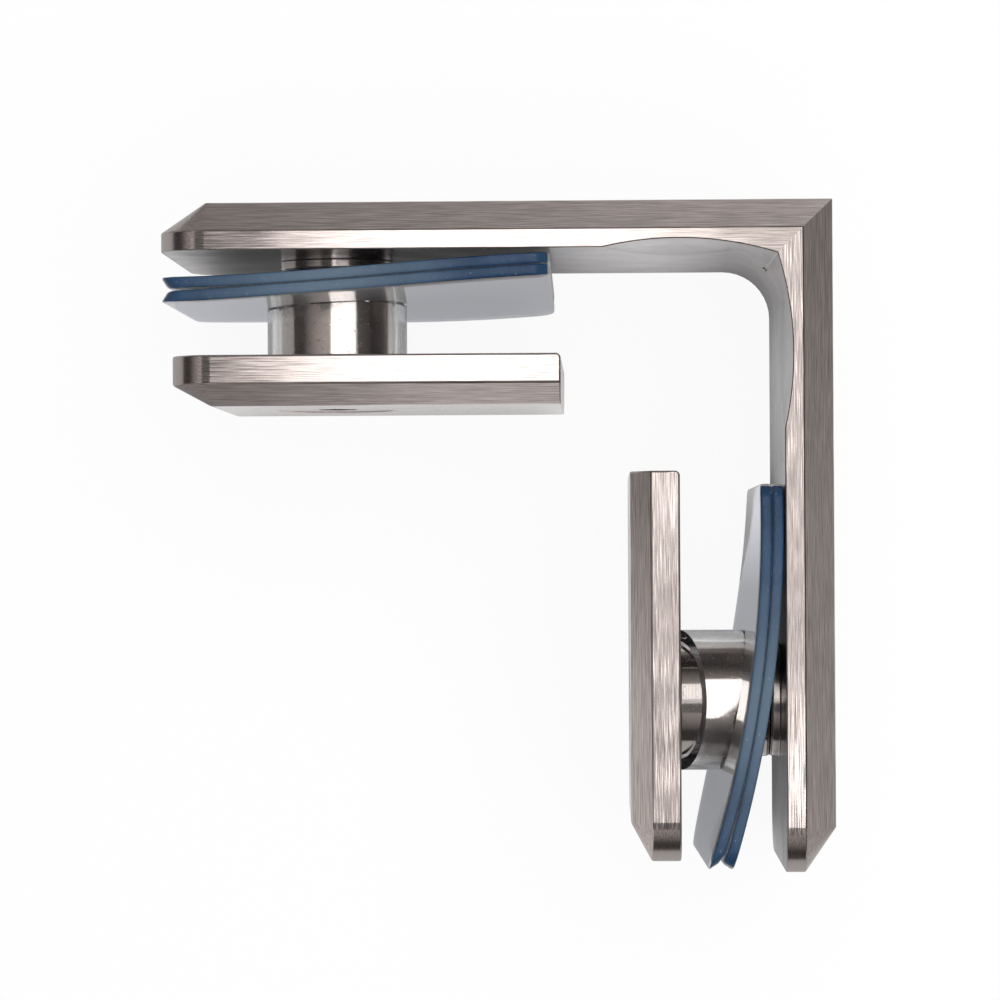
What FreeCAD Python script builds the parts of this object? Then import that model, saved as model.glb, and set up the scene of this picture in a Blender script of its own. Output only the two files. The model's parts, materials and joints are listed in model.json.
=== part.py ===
"""Corner clamp for two glass panels that meet at a right angle.

One cast steel corner body carries a round threaded boss on each arm. A cover plate is drawn
against each boss by a countersunk screw, and soft clear gaskets lie on the boss between them.

Frame, in millimetres: Z runs along the clamp's height and the clamp stands on its lower side
faces. The outer corner of the L points to +X +Y, and the origin is the middle of the footprint.
Arm A runs to -X, arm B to -Y. On either arm, "along" is the distance from the outer corner and
"in" is the distance from the arm's outer face towards the inside of the L.
"""
import FreeCAD, Part
import math
import os
import Sketcher

SIZES = [
    ("arm_length", 86.5, "outer corner to the free end of an arm"),
    ("clamp_height", 50.0, "height of the body and of the cover plates"),
    ("arm_thickness", 6.5, "outer face to inner face of an arm"),
    ("arm_bevel_rise", 4.0, "depth of the arm's bevel below the outer face"),
    ("arm_bevel_run", 5.7, "width of the arm's bevel along the outer face"),
    ("face_corner_radius", 0.4, "corner radius left on a bevelled outer face"),
    ("inner_fillet", 6.5, "fillet in the inner corner of the L"),
    ("relief_radius", 43.0, "radius of the hollow ground beside the inner corner"),
    ("relief_along", 20.0, "where that hollow is deepest, along the arm"),
    ("relief_depth", 1.0, "its depth at the upper side face"),
    ("relief_height", 14.0, "how far down it runs out"),
    ("boss_along", 65.0, "outer corner to the boss axis"),
    ("boss_radius", 7.5, "outside of the boss"),
    ("glass_gap", 13.4, "arm to closed cover plate, which rests on the boss"),
    ("plate_length", 50.0, "length of a cover plate"),
    ("plate_thickness", 6.4, "inner face to outer face of a cover plate"),
    ("plate_setback", 1.5, "free end of the arm to free end of the plate"),
    ("plate_bevel_rise", 2.65, "depth of the plate's bevel below the outer face"),
    ("plate_bevel_run", 4.9, "width of the plate's bevel along the outer face"),
    ("plate_break", 0.6, "chamfer on the plate's square end"),
    ("thread_radius", 4.0, "outside of the M8 thread"),
    ("thread_play", 0.05, "screw thread to the boss's thread"),
    ("plate_hole_radius", 4.5, "clearance hole in a cover plate"),
    ("head_radius", 8.05, "rim of the countersunk head"),
    ("head_land", 0.35, "straight rim above the head's cone"),
    ("head_play", 0.06, "head to countersink, measured across the radius"),
    ("head_recess", 0.15, "outer face of the plate to the top of the head"),
    ("screw_length", 16.0, "top of the head to the tip"),
    ("tip_chamfer", 0.8, "chamfer on the screw's tip"),
    ("tip_room", 2.5, "tip of the closed screw to the bottom of its hole"),
    ("socket_width", 5.0, "across the flats of the hexagon socket"),
    ("socket_depth", 3.0, "depth of the hexagon socket"),
    ("gasket_length", 49.5, "gasket along the arm"),
    ("gasket_inset", 0.4, "gasket's edge below the clamp's side face"),
    ("gasket_thickness", 1.45, "thickness of one gasket"),
    ("gasket_layer_gap", 0.1, "air between the two loose gaskets"),
    ("gasket_from_corner", 36.2, "outer corner to the inner end of the gaskets"),
    ("gasket_hole_play", 0.5, "plain gasket's hole to the boss"),
    ("collar_play", 0.3, "collar's bore to the boss"),
    ("collar_wall", 1.5, "wall of the moulded collar"),
    ("collar_height_a", 6.3, "rim of arm A's collar above its gasket"),
    ("lift_a", 1.7, "arm A to the inner end of its gaskets"),
    ("slope_a", 1.6, "degrees that they rise towards the free end"),
    ("straight_a", 18.0, "their straight stretch before the bend"),
    ("bend_radius_a", 600.0, "radius of their bend"),
    ("collar_height_b", 5.0, "rim of arm B's collar above its gasket"),
    ("lift_b", 0.5, "arm B to the inner end of its gaskets"),
    ("slope_b", 1.0, "degrees that they rise towards the free end"),
    ("straight_b", 11.0, "their straight stretch before the bend"),
    ("bend_radius_b", 125.0, "radius of their bend"),
]

NEARBY = 0.01  # millimetres within which two places count as one
FULL_TURN = 360
SOCKET_SIDES = 6


class Formula:
    """A size as the sheet writes it, together with the number that it stands for now."""

    def __init__(self, text, number):
        self.text = text
        self.number = number

    def __add__(self, other):
        other = as_formula(other)
        return Formula(f"({self.text} + {other.text})", self.number + other.number)

    def __sub__(self, other):
        other = as_formula(other)
        return Formula(f"({self.text} - {other.text})", self.number - other.number)

    def __mul__(self, other):
        other = as_formula(other)
        return Formula(f"({self.text} * {other.text})", self.number * other.number)

    def __truediv__(self, other):
        other = as_formula(other)
        return Formula(f"({self.text} / {other.text})", self.number / other.number)


def as_formula(value):
    return value if isinstance(value, Formula) else Formula(repr(value), value)


def sine(angle):
    return Formula(f"sin({angle.text} * 1deg)", math.sin(math.radians(angle.number)))


def cosine(angle):
    return Formula(f"cos({angle.text} * 1deg)", math.cos(math.radians(angle.number)))


zero = as_formula(0.0)

doc = FreeCAD.newDocument("glass_corner_clamp")
sheet = doc.addObject("Spreadsheet::Sheet", "sizes")
for row, (alias, value, meaning) in enumerate(SIZES, start=1):
    sheet.set(f"A{row}", meaning)
    sheet.set(f"B{row}", str(value))
    sheet.setAlias(f"B{row}", alias)
doc.recompute()
size = {alias: Formula(f"sizes.{alias}", value) for alias, value, meaning in SIZES}

# Places that follow from the driving sizes
corner = size["arm_length"] / 2
mid_height = size["clamp_height"] / 2
plate_inner = size["arm_thickness"] + size["glass_gap"]
plate_outer = plate_inner + size["plate_thickness"]
plate_free_end = size["arm_length"] - size["plate_setback"]
plate_square_end = plate_free_end - size["plate_length"]
head_top = plate_outer - size["head_recess"]
head_drop = size["head_land"] + size["head_radius"] - size["thread_radius"]
gasket_pitch = size["gasket_thickness"] + size["gasket_layer_gap"]


class Arm:
    """One arm of the L: turns along and in into the part's own X and Y."""

    def __init__(self, letter):
        self.letter = letter
        self.is_a = letter == "a"

    def point(self, along, inward):
        if self.is_a:
            return corner - along, corner - inward
        return corner - inward, corner - along

    def face_plane(self, inward):
        """The origin plane that the arm's faces lie parallel to, and its offset."""
        if self.is_a:
            return "XZ_Plane", inward - corner
        return "YZ_Plane", corner - inward

    def inward_axis(self):
        return FreeCAD.Vector(0, -1, 0) if self.is_a else FreeCAD.Vector(-1, 0, 0)

    def aim(self, feature, along, inward):
        """Points a turned shape's own Z inward, from a place on the boss axis."""
        turn = FreeCAD.Rotation(FreeCAD.Vector(0, 0, 1), self.inward_axis())
        feature.Placement = FreeCAD.Placement(FreeCAD.Vector(), turn)
        across, over = self.point(along, inward)
        bind(feature, "Placement.Base.x", across)
        bind(feature, "Placement.Base.y", over)
        bind(feature, "Placement.Base.z", mid_height)


ARMS = [Arm("a"), Arm("b")]


def bind(feature, path, formula):
    feature.setExpression(path, as_formula(formula).text)


def origin_plane(body, role):
    return next(plane for plane in body.Origin.OriginFeatures if plane.Role == role)


def new_body(name):
    return doc.addObject("PartDesign::Body", name)


def attached_sketch(body, name, role, offset):
    sketch = body.newObject("Sketcher::SketchObject", name)
    sketch.AttachmentSupport = [(origin_plane(body, role), "")]
    sketch.MapMode = "FlatFace"
    bind(sketch, "AttachmentOffset.Base.z", offset)
    return sketch


def dimension(sketch, kind, geometry, position, formula):
    """Ties a sketch point's X or Y to the sheet, measured from the sketch's origin."""
    index = sketch.addConstraint(Sketcher.Constraint(kind, -1, 1, geometry, position, formula.number))
    bind(sketch, f"Constraints[{index}]", formula)


def tie_radius(sketch, geometry, formula):
    index = sketch.addConstraint(Sketcher.Constraint("Radius", geometry, formula.number))
    bind(sketch, f"Constraints[{index}]", formula)


def point_at(horizontal, vertical):
    return FreeCAD.Vector(horizontal.number, vertical.number, 0)


def rounded_end_outline(sketch, start, end, low, high, radius):
    """A rectangle whose two corners at its free end, to the left, are rounded."""
    top_centre = point_at(end + radius, high - radius)
    low_centre = point_at(end + radius, low + radius)
    normal = FreeCAD.Vector(0, 0, 1)
    top = Part.LineSegment(point_at(start, high), point_at(end + radius, high))
    free = Part.LineSegment(point_at(end, high - radius), point_at(end, low + radius))
    bottom = Part.LineSegment(point_at(end + radius, low), point_at(start, low))
    square = Part.LineSegment(point_at(start, low), point_at(start, high))
    quarter = math.pi / 2
    top_arc = Part.ArcOfCircle(Part.Circle(top_centre, normal, radius.number), quarter, 2 * quarter)
    low_arc = Part.ArcOfCircle(Part.Circle(low_centre, normal, radius.number), 2 * quarter, 3 * quarter)
    sketch.addGeometry([top, top_arc, free, low_arc, bottom, square])
    joints = [("Tangent", 0, 2, 1, 1), ("Tangent", 1, 2, 2, 1), ("Tangent", 2, 2, 3, 1),
              ("Tangent", 3, 2, 4, 1), ("Coincident", 4, 2, 5, 1), ("Coincident", 5, 2, 0, 1)]
    for joint in joints:
        sketch.addConstraint(Sketcher.Constraint(*joint))
    sketch.addConstraint(Sketcher.Constraint("Horizontal", 0))
    sketch.addConstraint(Sketcher.Constraint("Vertical", 2))
    sketch.addConstraint(Sketcher.Constraint("Horizontal", 4))
    sketch.addConstraint(Sketcher.Constraint("Vertical", 5))
    dimension(sketch, "DistanceX", 5, 1, start)
    dimension(sketch, "DistanceX", 2, 1, end)
    dimension(sketch, "DistanceY", 5, 1, low)
    dimension(sketch, "DistanceY", 0, 1, high)
    tie_radius(sketch, 1, radius)
    tie_radius(sketch, 3, radius)


def slab_section(body, arm, name, inward, start, end, inset, radius):
    """The slab's outline at one depth, parallel to the arm's faces."""
    role, offset = arm.face_plane(inward)
    sketch = attached_sketch(body, f"{name}_{arm.letter}", role, offset)
    low = zero + inset
    high = size["clamp_height"] - inset
    rounded_end_outline(sketch, corner - start, corner - end, low, high, radius)
    return sketch


def ruled_loft(body, name, first, second):
    loft = body.newObject("PartDesign::AdditiveLoft", name)
    loft.Profile = first
    loft.Sections = [second]
    loft.Ruled = True
    loft.Refine = True


def inward_pad(body, arm, name, sketch, length):
    """Raises an outline from its own depth towards the inside of the L."""
    pad = body.newObject("PartDesign::Pad", f"{name}_{arm.letter}")
    pad.Profile = sketch
    pad.Reversed = not arm.is_a
    pad.Refine = True
    bind(pad, "Length", length)


def arm_wall(body, arm):
    """The arm's flat wall, behind its bevel. The two walls run into each other at the corner."""
    rise = size["arm_bevel_rise"]
    end_radius = size["face_corner_radius"] + size["arm_bevel_run"]
    shoulder = slab_section(body, arm, "arm_shoulder", rise, rise, size["arm_length"], zero,
                            end_radius)
    inward_pad(body, arm, "arm_wall", shoulder, size["arm_thickness"] - rise)
    return shoulder


def arm_bevel(body, arm, shoulder):
    """The arm's outer face and its bevel, which end in a mitre at the outer corner."""
    run = size["arm_bevel_run"]
    outer = slab_section(body, arm, "arm_face", zero, zero, size["arm_length"] - run, run,
                         size["face_corner_radius"])
    ruled_loft(body, f"arm_bevel_{arm.letter}", shoulder, outer)


def upright_edges(shape, places):
    """Names the shape's edges that stand upright at any of these places."""
    def is_wanted(edge):
        ends = [(vertex.X, vertex.Y) for vertex in edge.Vertexes]
        return any(all(math.dist(end, (across.number, over.number)) < NEARBY for end in ends)
                   for across, over in places)

    return [f"Edge{number}" for number, edge in enumerate(shape.Edges, start=1) if is_wanted(edge)]


def boss(body, arm):
    role, offset = arm.face_plane(size["arm_thickness"])
    sketch = attached_sketch(body, f"boss_circle_{arm.letter}", role, offset)
    centre = point_at(corner - size["boss_along"], mid_height)
    sketch.addGeometry(Part.Circle(centre, FreeCAD.Vector(0, 0, 1), size["boss_radius"].number))
    dimension(sketch, "DistanceX", 0, 3, corner - size["boss_along"])
    dimension(sketch, "DistanceY", 0, 3, mid_height)
    tie_radius(sketch, 0, size["boss_radius"])
    inward_pad(body, arm, "boss", sketch, size["glass_gap"])


def inner_corner_fillet(body):
    """Rounds the upright corner where the arms' inner faces meet."""
    doc.recompute()
    slab = body.Tip
    wall = corner - size["arm_thickness"]
    fillet = body.newObject("PartDesign::Fillet", "inner_corner_fillet")
    fillet.Base = (slab, upright_edges(slab.Shape, [(wall, wall)]))
    bind(fillet, "Radius", size["inner_fillet"])


def relief_hollow(arm):
    """A leaning cylinder that enters the wall at its foot's level and cuts deepest at the top."""
    depth = size["relief_depth"]
    height = size["relief_height"]
    hollow = doc.addObject("Part::Cylinder", f"relief_{arm.letter}")
    bind(hollow, "Radius", size["relief_radius"])
    bind(hollow, "Height", height * 2)
    lean_axis = FreeCAD.Vector(-1, 0, 0) if arm.is_a else FreeCAD.Vector(0, 1, 0)
    lean = math.degrees(math.atan2(depth.number, height.number))
    hollow.Placement = FreeCAD.Placement(FreeCAD.Vector(), FreeCAD.Rotation(lean_axis, lean))
    hollow.setExpression("Placement.Rotation.Angle", f"atan({depth.text} / {height.text})")
    across, over = arm.point(size["relief_along"], size["arm_thickness"] + size["relief_radius"])
    bind(hollow, "Placement.Base.x", across)
    bind(hollow, "Placement.Base.y", over)
    bind(hollow, "Placement.Base.z", size["clamp_height"] - size["relief_height"])
    return hollow


def boolean(kind, name, base, tool):
    feature = doc.addObject(kind, name)
    feature.Base = base
    feature.Tool = tool
    feature.Refine = True
    return feature


def round_tool(name, arm, radius, inward, length):
    """A cylinder on the boss axis that starts at one depth and runs inward."""
    tool = doc.addObject("Part::Cylinder", f"{name}_{arm.letter}")
    bind(tool, "Radius", radius)
    bind(tool, "Height", length)
    arm.aim(tool, size["boss_along"], inward)
    return tool


def corner_body():
    body = new_body("corner_casting")
    shoulders = [arm_wall(body, arm) for arm in ARMS]
    inner_corner_fillet(body)
    for arm in ARMS:
        boss(body, arm)
    for arm, shoulder in zip(ARMS, shoulders):
        arm_bevel(body, arm, shoulder)
    hollow = boolean("Part::Common", "relief", relief_hollow(ARMS[0]), relief_hollow(ARMS[1]))
    solid = boolean("Part::Cut", "casting_relieved", body, hollow)
    depth = size["screw_length"] + size["head_recess"] - size["plate_thickness"] + size["tip_room"]
    for arm in ARMS:
        bore = round_tool("thread_hole", arm, size["thread_radius"] + size["thread_play"],
                          plate_inner - depth, depth)
        solid = boolean("Part::Cut", f"casting_tapped_{arm.letter}", solid, bore)
    solid.Label = "corner_body"
    return solid


def break_square_end(body, arm):
    """Chamfers the upright edges of the plate's square end, on its inner and outer face."""
    doc.recompute()
    slab = body.Tip
    corners = [arm.point(plate_square_end, inward) for inward in (plate_inner, plate_outer)]
    chamfer = body.newObject("PartDesign::Chamfer", f"square_end_{arm.letter}")
    chamfer.Base = (slab, upright_edges(slab.Shape, corners))
    bind(chamfer, "Size", size["plate_break"])


def cover_plate(arm):
    body = new_body(f"plate_blank_{arm.letter}")
    wall = size["plate_thickness"] - size["plate_bevel_rise"]
    face_radius = size["face_corner_radius"]
    end_radius = face_radius + size["plate_bevel_run"]
    inner = slab_section(body, arm, "plate_inside", plate_inner, plate_square_end,
                         plate_free_end, zero, end_radius)
    shoulder = slab_section(body, arm, "plate_shoulder", plate_inner + wall, plate_square_end,
                            plate_free_end, zero, end_radius)
    outer = slab_section(body, arm, "plate_face", plate_outer, plate_square_end,
                         plate_free_end - size["plate_bevel_run"], size["plate_bevel_run"],
                         face_radius)
    inward_pad(body, arm, "plate_wall", inner, wall)
    ruled_loft(body, f"plate_bevel_{arm.letter}", shoulder, outer)
    break_square_end(body, arm)
    hole = round_tool("plate_hole", arm, size["plate_hole_radius"], plate_inner,
                      size["plate_thickness"])
    seat = doc.addObject("Part::Cone", f"countersink_{arm.letter}")
    bind(seat, "Radius1", size["thread_radius"] + size["head_play"])
    bind(seat, "Radius2", size["head_radius"] + size["head_play"])
    bind(seat, "Height", size["head_radius"] - size["thread_radius"])
    arm.aim(seat, size["boss_along"], head_top - head_drop)
    rim = round_tool("head_rim", arm, size["head_radius"] + size["head_play"],
                     head_top - size["head_land"], size["head_land"] + size["head_recess"])
    solid = body
    for number, tool in enumerate([hole, seat, rim], start=1):
        solid = boolean("Part::Cut", f"plate_cut_{number}_{arm.letter}", solid, tool)
    solid.Label = f"cover_plate_{arm.letter}"
    return solid


def closed_polygon(sketch, points):
    """Straight sides through points that are each tied to the sheet."""
    count = len(points)
    for number, (across, over) in enumerate(points):
        next_across, next_over = points[(number + 1) % count]
        sketch.addGeometry(Part.LineSegment(point_at(across, over), point_at(next_across, next_over)))
    for number in range(count):
        sketch.addConstraint(Sketcher.Constraint("Coincident", number, 2, (number + 1) % count, 1))
    for number, (across, over) in enumerate(points):
        dimension(sketch, "DistanceX", number, 1, across)
        dimension(sketch, "DistanceY", number, 1, over)


def screw(arm):
    """Countersunk screw, turned about its own Z with the top of the head at zero."""
    body = new_body(f"clamp_screw_{arm.letter}")
    body.Label = f"clamp_screw_{arm.letter}"
    length = size["screw_length"]
    chamfer = size["tip_chamfer"]
    profile = attached_sketch(body, f"screw_profile_{arm.letter}", "XZ_Plane", zero)
    closed_polygon(profile, [
        (zero, zero),
        (size["head_radius"], zero),
        (size["head_radius"], zero - size["head_land"]),
        (size["thread_radius"], zero - head_drop),
        (size["thread_radius"], chamfer - length),
        (size["thread_radius"] - chamfer, zero - length),
        (zero, zero - length),
    ])
    turned = body.newObject("PartDesign::Revolution", f"screw_turned_{arm.letter}")
    turned.Profile = profile
    turned.ReferenceAxis = (profile, ["V_Axis"])
    turned.Angle = FULL_TURN
    doc.recompute()
    hexagon = attached_sketch(body, f"socket_outline_{arm.letter}", "XY_Plane", zero)
    reach = size["socket_width"] / math.sqrt(3)
    turns = [math.radians(FULL_TURN / SOCKET_SIDES * number) for number in range(SOCKET_SIDES)]
    closed_polygon(hexagon, [(reach * math.cos(turn), reach * math.sin(turn)) for turn in turns])
    socket = body.newObject("PartDesign::Pocket", f"socket_{arm.letter}")
    socket.Profile = hexagon
    bind(socket, "Length", size["socket_depth"])
    arm.aim(body, size["boss_along"], head_top)
    return body


def arc_between(sketch, centre, radius, first, last):
    """An arc that runs anticlockwise from one place to another."""
    angles = [math.atan2(over.number - centre.y, across.number - centre.x)
              for across, over in (first, last)]
    circle = Part.Circle(centre, FreeCAD.Vector(0, 0, 1), radius.number)
    geometry = sketch.addGeometry(Part.ArcOfCircle(circle, *angles))
    tie_radius(sketch, geometry, radius)
    return geometry


def bent_sides(sketch, arm, outline, centre, bend, short):
    """The strip's closed outline: two long sides, each a line and an arc, and two short ends."""
    sides = [None] * len(outline)
    for number in (0, 2, 4, 5):
        ends = outline[number], outline[(number + 1) % len(outline)]
        sides[number] = sketch.addGeometry(Part.LineSegment(*[point_at(*end) for end in ends]))
    first, second = (1, 2) if arm.is_a else (2, 1)
    sides[1] = arc_between(sketch, centre, bend, outline[first], outline[second])
    sides[3] = arc_between(sketch, centre, short, outline[5 - second], outline[5 - first])
    arc_ends = {1: (first, second), 3: (second, first)}
    for number, side in enumerate(sides):
        following = (number + 1) % len(sides)
        last = arc_ends.get(number, (1, 2))[1]
        start = arc_ends.get(following, (1, 2))[0]
        sketch.addConstraint(Sketcher.Constraint("Coincident", side, last, sides[following], start))
        dimension(sketch, "DistanceX", side, last, outline[following][0])
        dimension(sketch, "DistanceY", side, last, outline[following][1])


def strip(arm, name, start_lift, thickness):
    """A gasket's side view, straight and then bent, drawn flat and raised to its height."""
    letter = arm.letter
    slope = size[f"slope_{letter}"]
    bend = size[f"bend_radius_{letter}"]
    straight = size[f"straight_{letter}"]
    turn = (size["gasket_length"] - straight) / bend
    turned = Formula(f"({turn.text} * 180 / pi + {slope.text})",
                     math.degrees(turn.number) + slope.number)
    base = size["arm_thickness"] + start_lift
    centre_along = size["gasket_from_corner"] + cosine(slope) * straight - sine(slope) * bend
    centre_in = base + sine(slope) * straight + cosine(slope) * bend

    def on_bend(angle, radius):
        return arm.point(centre_along + sine(angle) * radius, centre_in - cosine(angle) * radius)

    def at_start(height):
        along = size["gasket_from_corner"] - sine(slope) * height
        return arm.point(along, base + cosine(slope) * height)

    short = bend - thickness
    centre = point_at(*arm.point(centre_along, centre_in))
    outline = [at_start(zero), on_bend(slope, bend), on_bend(turned, bend),
               on_bend(turned, short), on_bend(slope, short), at_start(thickness)]
    sketch = doc.addObject("Sketcher::SketchObject", f"{name}_outline_{letter}")
    bind(sketch, "Placement.Base.z", size["gasket_inset"])
    bent_sides(sketch, arm, outline, centre, bend, short)
    extrusion = doc.addObject("Part::Extrusion", f"{name}_{letter}")
    extrusion.Base = sketch
    extrusion.DirMode = "Custom"
    extrusion.Dir = FreeCAD.Vector(0, 0, 1)
    extrusion.Solid = True
    bind(extrusion, "LengthFwd", size["clamp_height"] - size["gasket_inset"] * 2)
    return extrusion


def plain_gasket(arm):
    sheet_strip = strip(arm, "plain_strip", size[f"lift_{arm.letter}"], size["gasket_thickness"])
    hole = round_tool("plain_hole", arm, size["boss_radius"] + size["gasket_hole_play"],
                      size["arm_thickness"], size["glass_gap"])
    solid = boolean("Part::Cut", f"plain_gasket_{arm.letter}", sheet_strip, hole)
    return solid


def collar_gasket(arm):
    """The second gasket, with a short sleeve round the boss that keeps to its slope."""
    lift = size[f"lift_{arm.letter}"] + gasket_pitch
    flat = strip(arm, "collar_strip", lift, size["gasket_thickness"])
    height = size[f"collar_height_{arm.letter}"]
    envelope = strip(arm, "collar_reach", lift, size["gasket_thickness"] + height)
    bore_radius = size["boss_radius"] + size["collar_play"]
    sleeve = round_tool("sleeve", arm, bore_radius + size["collar_wall"], size["arm_thickness"],
                        size["glass_gap"])
    collar = boolean("Part::Common", f"collar_{arm.letter}", sleeve, envelope)
    whole = boolean("Part::Fuse", f"collar_and_strip_{arm.letter}", flat, collar)
    bore = round_tool("collar_bore", arm, bore_radius, size["arm_thickness"], size["glass_gap"])
    return boolean("Part::Cut", f"collar_gasket_{arm.letter}", whole, bore)


def main():
    parts = [corner_body()]
    for make in (cover_plate, screw, plain_gasket, collar_gasket):
        for arm in ARMS:
            parts.append(make(arm))
    doc.recompute()
    for feature in doc.Objects:
        if "Invalid" in feature.State or "Error" in feature.State:
            raise RuntimeError(f"{feature.Name} failed to build: {feature.State}")
    os.makedirs("parts", exist_ok=True)
    for part in parts:
        if part.Shape.isNull() or not part.Shape.isValid():
            raise RuntimeError(f"{part.Label} has no sound shape")
    for part in parts:
        part.Shape.exportStep(f"parts/{part.Label}.step")
        box = part.Shape.BoundBox
        print(f"{part.Label:18s} solids {len(part.Shape.Solids)}  volume {part.Shape.Volume:9.1f}  "
              f"x {box.XMin:7.2f} {box.XMax:7.2f}  y {box.YMin:7.2f} {box.YMax:7.2f}  "
              f"z {box.ZMin:6.2f} {box.ZMax:6.2f}")


main()
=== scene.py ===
# %% [markdown]
# # A glass clamp for the corner of a frameless screen
#
# The real clamp joins two panes of glass at a right angle. One cast steel corner piece lies
# outside the glass. A round boss on each arm goes through a hole in the pane, a cover plate is
# drawn against the boss by one countersunk screw, and two soft clear gaskets lie on each boss.
#
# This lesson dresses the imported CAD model. The frame is loaded first, because every piece below
# takes its place and its size from it.

# %% Load the frame
import json
import math

import bmesh
import bpy
import numpy as np
from mathutils import Matrix, Vector

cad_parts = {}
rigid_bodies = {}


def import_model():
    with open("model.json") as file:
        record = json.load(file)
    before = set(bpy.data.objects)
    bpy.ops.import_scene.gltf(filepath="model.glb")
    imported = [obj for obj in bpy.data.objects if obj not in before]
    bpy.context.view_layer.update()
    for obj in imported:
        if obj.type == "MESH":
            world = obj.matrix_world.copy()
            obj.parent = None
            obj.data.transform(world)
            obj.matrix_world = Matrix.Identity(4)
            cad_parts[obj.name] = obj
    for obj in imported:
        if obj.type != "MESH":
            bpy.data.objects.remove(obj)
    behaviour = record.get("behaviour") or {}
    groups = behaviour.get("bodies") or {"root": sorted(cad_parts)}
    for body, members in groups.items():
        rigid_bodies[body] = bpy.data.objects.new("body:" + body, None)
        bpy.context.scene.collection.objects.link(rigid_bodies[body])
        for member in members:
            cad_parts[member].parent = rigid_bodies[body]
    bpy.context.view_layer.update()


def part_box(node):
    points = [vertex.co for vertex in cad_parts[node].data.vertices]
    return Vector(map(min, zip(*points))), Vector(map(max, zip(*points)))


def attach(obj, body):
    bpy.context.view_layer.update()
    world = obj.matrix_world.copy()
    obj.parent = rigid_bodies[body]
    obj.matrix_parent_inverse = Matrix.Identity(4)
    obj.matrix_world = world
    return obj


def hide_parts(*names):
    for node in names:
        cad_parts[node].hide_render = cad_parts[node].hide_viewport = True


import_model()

MM = 0.001

# %% [markdown]
# ## The camera
#
# The photograph looks down on the standing clamp from a good half metre above it, almost plumb.
# A long lens at that distance gives the same lines of perspective as the photograph: the upright
# edges run towards a point near the middle of the picture.

# %% Camera above the clamp
camera_data = bpy.data.cameras.new("camera above")
camera_data.sensor_width = 36.0
camera_data.lens = 151.92
camera = bpy.data.objects.new("camera above", camera_data)
bpy.context.scene.collection.objects.link(camera)
bpy.context.scene.camera = camera
world_to_camera = (Matrix.Rotation(math.radians(0.316), 3, "Z")
                   @ Matrix.Rotation(math.radians(-1.418), 3, "Y")
                   @ Matrix.Rotation(math.radians(-0.752), 3, "X"))
camera.matrix_world = (Matrix.Translation(Vector((13.747, -2.423, 586.972)) * MM)
                       @ world_to_camera.transposed().to_4x4())
camera_data.clip_start = 0.01
camera_data.clip_end = 20.0

# %% [markdown]
# ## Two arms, one drawing
#
# Both arms are alike, so every piece is drawn once, in millimetres, as if for one arm: "along" is
# the distance from the outer corner, "inward" the distance from the arm's outer face, and "up" the
# height. One matrix then puts the drawing on arm A and another, its mirror image, on arm B. A
# mirror image turns a shape inside out, so its normals are recalculated after the move.

# %% Places of the two arms
low_corner, high_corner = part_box("corner_body")
HEIGHT = (high_corner.z - low_corner.z) / MM
ARM_LENGTH = (high_corner.x - low_corner.x) / MM
CORNER = ARM_LENGTH / 2
ON_ARM = {
    "a": Matrix(((-1, 0, 0, CORNER), (0, -1, 0, CORNER), (0, 0, 1, 0), (0, 0, 0, 1))),
    "b": Matrix(((0, -1, 0, CORNER), (-1, 0, 0, CORNER), (0, 0, 1, 0), (0, 0, 0, 1))),
}
SWAP_ARMS = Matrix(((0, 1, 0, 0), (1, 0, 0, 0), (0, 0, 1, 0), (0, 0, 0, 1)))
ARM_THICK, BOSS_ALONG, BOSS_RADIUS, BORE_RADIUS = 6.5, 65.0, 7.5, 4.05
plate_low, plate_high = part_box("cover_plate_a")
PLATE_INNER = CORNER - plate_high.y / MM
PLATE_OUTER = CORNER - plate_low.y / MM
PLATE_START = CORNER - plate_high.x / MM
PLATE_END = CORNER - plate_low.x / MM
print(f"arm {ARM_LENGTH:.2f} mm long and {HEIGHT:.2f} high, plate from {PLATE_START:.2f} to "
      f"{PLATE_END:.2f} along and {PLATE_INNER:.2f} to {PLATE_OUTER:.2f} inward")

# %% [markdown]
# ## Materials as expressions
#
# A material is a small graph of nodes. A Wire wraps one output of a node, so the sums between
# them can be written as Python expressions: each operator adds one Math node. Every other node
# comes from one method, which takes its type, its settings, and the values of its inputs.

# %% Helper classes for materials
class Wire:
    def __init__(self, finish, socket):
        self.finish = finish
        self.socket = socket

    def math(self, operation, *values):
        return self.finish.add("ShaderNodeMath", {"operation": operation},
                               dict(enumerate(values)))

    def __add__(self, other):
        return self.math("ADD", self, other)

    def __radd__(self, other):
        return self.math("ADD", other, self)

    def __sub__(self, other):
        return self.math("SUBTRACT", self, other)

    def __rsub__(self, other):
        return self.math("SUBTRACT", other, self)

    def __mul__(self, other):
        return self.math("MULTIPLY", self, other)

    def __rmul__(self, other):
        return self.math("MULTIPLY", other, self)

    def __gt__(self, other):
        return self.math("GREATER_THAN", self, other)


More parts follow.
